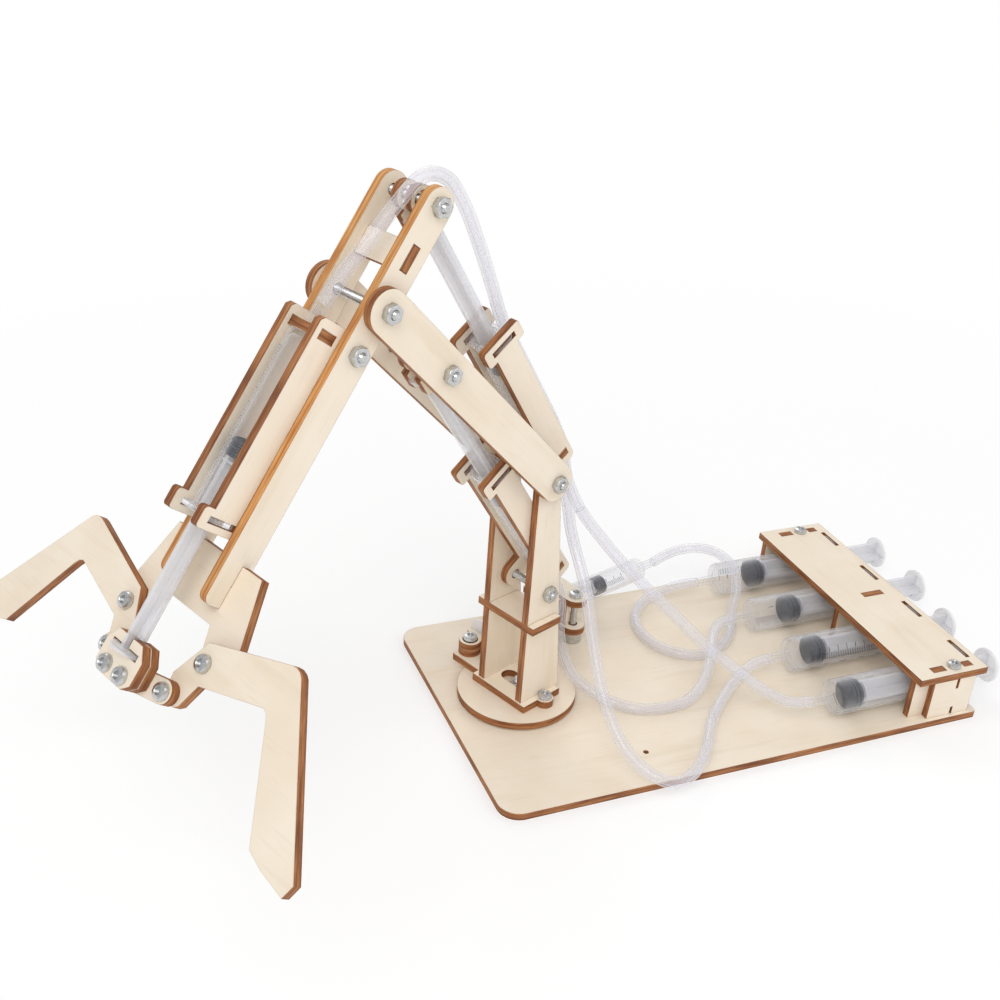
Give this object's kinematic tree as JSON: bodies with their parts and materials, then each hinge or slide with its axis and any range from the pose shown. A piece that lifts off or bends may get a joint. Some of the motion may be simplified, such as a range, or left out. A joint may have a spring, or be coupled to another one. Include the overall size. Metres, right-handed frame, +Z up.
{
  "type": "hydraulic arm kit",
  "caption": "Plywood desktop robot arm with gripper on a turntable, driven through clear tubes by hand-pushed syringes in a rack on its base board.",
  "frame": {"origin": "centre of the base board's underside", "axes": "+X along the base board towards the syringe rack, +Y across the board, +Z up"},
  "size_m": [0.3859, 0.2002, 0.2167],
  "materials": {
    "plywood": "laser-cut birch plywood with scorched brown edges",
    "steel": "zinc-plated M3 screws and nuts",
    "clear_plastic": "translucent moulded polypropylene",
    "rod_plastic": "translucent rod with dark rubber stopper",
    "clear_tube": "clear flexible tubing"
  },
  "bodies": {
    "base": {"base_board": "plywood", "rack_top_plate": "plywood", "rack_wall_near_inner": "plywood", "rack_wall_near_outer": "plywood", "rack_wall_far_inner": "plywood", "rack_wall_far_outer": "plywood", "rack_screw_near": "steel", "rack_screw_far": "steel", "rack_middle_wall": "plywood", "master_swivel_barrel": "clear_plastic", "master_shoulder_barrel": "clear_plastic", "master_elbow_barrel": "clear_plastic", "master_gripper_barrel": "clear_plastic", "gripper_tube_lower": "clear_tube", "elbow_tube_lower": "clear_tube", "shoulder_tube": "clear_tube", "swivel_tube": "clear_tube"},
    "turntable": {"turntable_disc": "plywood", "tower_base_plate": "plywood", "tower_plate_near": "plywood", "tower_plate_far": "plywood", "tower_middle_plate": "plywood", "shoulder_bolt": "steel", "lower_cylinder_bolt": "steel", "lever_bolt": "steel", "gripper_tube_shoulder": "clear_tube", "elbow_tube_upper": "clear_tube"},
    "boom": {"boom_bar_near": "plywood", "boom_bar_far": "plywood", "boom_middle_bolt": "steel", "elbow_bolt": "steel", "gripper_tube_upper": "clear_tube"},
    "forearm": {"forearm_plate_near": "plywood", "forearm_plate_far": "plywood", "forearm_cross_plate": "plywood", "forearm_rear_bolt": "steel", "gripper_cylinder_bolt": "steel", "palm_plate": "plywood", "gripper_holder": "plywood", "gripper_barrel": "clear_plastic"},
    "hand": {"gripper_plunger": "rod_plastic", "crosshead_rear_plate": "plywood", "crosshead_front_plate": "plywood"},
    "finger_near": {"finger_near": "plywood"},
    "finger_far": {"finger_far": "plywood"},
    "link_near": {"link_near": "plywood"},
    "link_far": {"link_far": "plywood"},
    "shoulder_cylinder": {"shoulder_holder": "plywood", "shoulder_barrel": "clear_plastic"},
    "shoulder_rod": {"shoulder_plunger": "rod_plastic"},
    "elbow_cylinder": {"elbow_holder": "plywood", "elbow_barrel": "clear_plastic"},
    "elbow_rod": {"elbow_plunger": "rod_plastic"},
    "swivel_cylinder": {"swivel_holder": "plywood", "swivel_barrel": "clear_plastic"},
    "swivel_rod": {"swivel_plunger": "rod_plastic"},
    "master_swivel_rod": {"master_swivel_plunger": "rod_plastic"},
    "master_shoulder_rod": {"master_shoulder_plunger": "rod_plastic"},
    "master_elbow_rod": {"master_elbow_plunger": "rod_plastic"},
    "master_gripper_rod": {"master_gripper_plunger": "rod_plastic"}
  },
  "joints": [
    {"name": "swivel", "type": "hinge", "parent": "base", "child": "turntable", "pos_m": [-0.071, 0.0043, 0.003], "axis": [0, 0, 1], "range_deg": [-20, 20], "deforming": ["gripper_tube_lower", "elbow_tube_lower", "shoulder_tube"]},
    {"name": "shoulder", "type": "hinge", "parent": "turntable", "child": "boom", "pos_m": [-0.07498, 0.00267, 0.1036], "axis": [-0.3778, 0.9259, 0], "range_deg": [-32, 4], "deforming": ["gripper_tube_shoulder", "elbow_tube_upper"]},
    {"name": "elbow", "type": "hinge", "parent": "boom", "child": "forearm", "pos_m": [-0.14662, -0.02656, 0.18207], "axis": [-0.3778, 0.9259, 0], "range_deg": [-8, 34], "deforming": ["gripper_tube_upper"]},
    {"name": "gripper", "type": "slide", "parent": "forearm", "child": "hand", "axis": [-0.5598, -0.2284, -0.7965], "range_m": [-0.012, 0]},
    {"name": "shoulder_cylinder_tilt", "type": "hinge", "parent": "turntable", "child": "shoulder_cylinder", "pos_m": [-0.07109, 0.00426, 0.0556], "axis": [-0.3778, 0.9259, 0], "range_deg": [-22.03, 3.58]},
    {"name": "shoulder_rod_stroke", "type": "slide", "parent": "shoulder_cylinder", "child": "shoulder_rod", "axis": [-0.5201, -0.2123, 0.8273], "range_m": [-0.01521, 0.00247]},
    {"name": "elbow_cylinder_tilt", "type": "hinge", "parent": "boom", "child": "elbow_cylinder", "pos_m": [-0.07498, 0.00267, 0.1036], "axis": [-0.3778, 0.9259, 0], "range_deg": [-0.33, 1.21]},
    {"name": "elbow_rod_stroke", "type": "slide", "parent": "elbow_cylinder", "child": "elbow_rod", "axis": [-0.5111, -0.2086, 0.8338], "range_m": [-0.01972, 0.00535]},
    {"name": "swivel_cylinder_turn", "type": "hinge", "parent": "base", "child": "swivel_cylinder", "pos_m": [-0.03439, 0.03263, 0.0161], "axis": [0, 0, 1], "range_deg": [-1.5, 1.5], "deforming": ["swivel_tube"]},
    {"name": "swivel_rod_stroke", "type": "slide", "parent": "swivel_cylinder", "child": "swivel_rod", "axis": [-0.9503, -0.3113, 0], "range_m": [-0.00917, 0.00917]},
    {"name": "finger_near_turn", "type": "hinge", "parent": "forearm", "child": "finger_near", "pos_m": [-0.19998, -0.07015, 0.09528], "axis": [-0.7375, -0.301, 0.6046], "range_deg": [-12.41, 0.48]},
    {"name": "finger_far_turn", "type": "hinge", "parent": "forearm", "child": "finger_far", "pos_m": [-0.21524, -0.03275, 0.09528], "axis": [-0.7375, -0.301, 0.6046], "range_deg": [-0.48, 12.41]},
    {"name": "link_near_turn", "type": "hinge", "parent": "hand", "child": "link_near", "pos_m": [-0.21422, -0.05847, 0.08373], "axis": [-0.7375, -0.301, 0.6046], "range_deg": [-60.89, 2.34]},
    {"name": "link_far_turn", "type": "hinge", "parent": "hand", "child": "link_far", "pos_m": [-0.21724, -0.05106, 0.08373], "axis": [-0.7375, -0.301, 0.6046], "range_deg": [-2.34, 60.89]},
    {"name": "master_swivel_stroke", "type": "slide", "parent": "base", "child": "master_swivel_rod", "axis": [1, 0, 0], "range_m": [-0.00401, 0.00401]},
    {"name": "master_shoulder_stroke", "type": "slide", "parent": "base", "child": "master_shoulder_rod", "axis": [1, 0, 0], "range_m": [-0.00108, 0.00665]},
    {"name": "master_elbow_stroke", "type": "slide", "parent": "base", "child": "master_elbow_rod", "axis": [1, 0, 0], "range_m": [-0.00234, 0.00863]},
    {"name": "master_gripper_stroke", "type": "slide", "parent": "base", "child": "master_gripper_rod", "axis": [1, 0, 0], "range_m": [-0.00021, 0.00546]}
  ],
  "couplings": [
    {"joint": "shoulder_cylinder_tilt", "follows": "shoulder", "ratio": 0.65866},
    {"joint": "shoulder_rod_stroke", "follows": "shoulder", "m_per_rad": 0.026055},
    {"joint": "elbow_cylinder_tilt", "follows": "elbow", "ratio": 0.033862},
    {"joint": "elbow_rod_stroke", "follows": "elbow", "m_per_rad": -0.031673},
    {"joint": "swivel_cylinder_turn", "follows": "swivel", "ratio": 0.06956},
    {"joint": "swivel_rod_stroke", "follows": "swivel", "m_per_rad": 0.02433},
    {"joint": "finger_near_turn", "follows": "gripper", "rad_per_m": 17.36},
    {"joint": "finger_far_turn", "follows": "gripper", "rad_per_m": -17.36},
    {"joint": "link_near_turn", "follows": "gripper", "rad_per_m": 85.152},
    {"joint": "link_far_turn", "follows": "gripper", "rad_per_m": -85.152},
    {"joint": "master_swivel_stroke", "follows": "swivel", "m_per_rad": -0.01064},
    {"joint": "master_shoulder_stroke", "follows": "shoulder", "m_per_rad": -0.011394},
    {"joint": "master_elbow_stroke", "follows": "elbow", "m_per_rad": 0.013851},
    {"joint": "master_gripper_stroke", "follows": "gripper", "ratio": -0.4373}
  ]
}
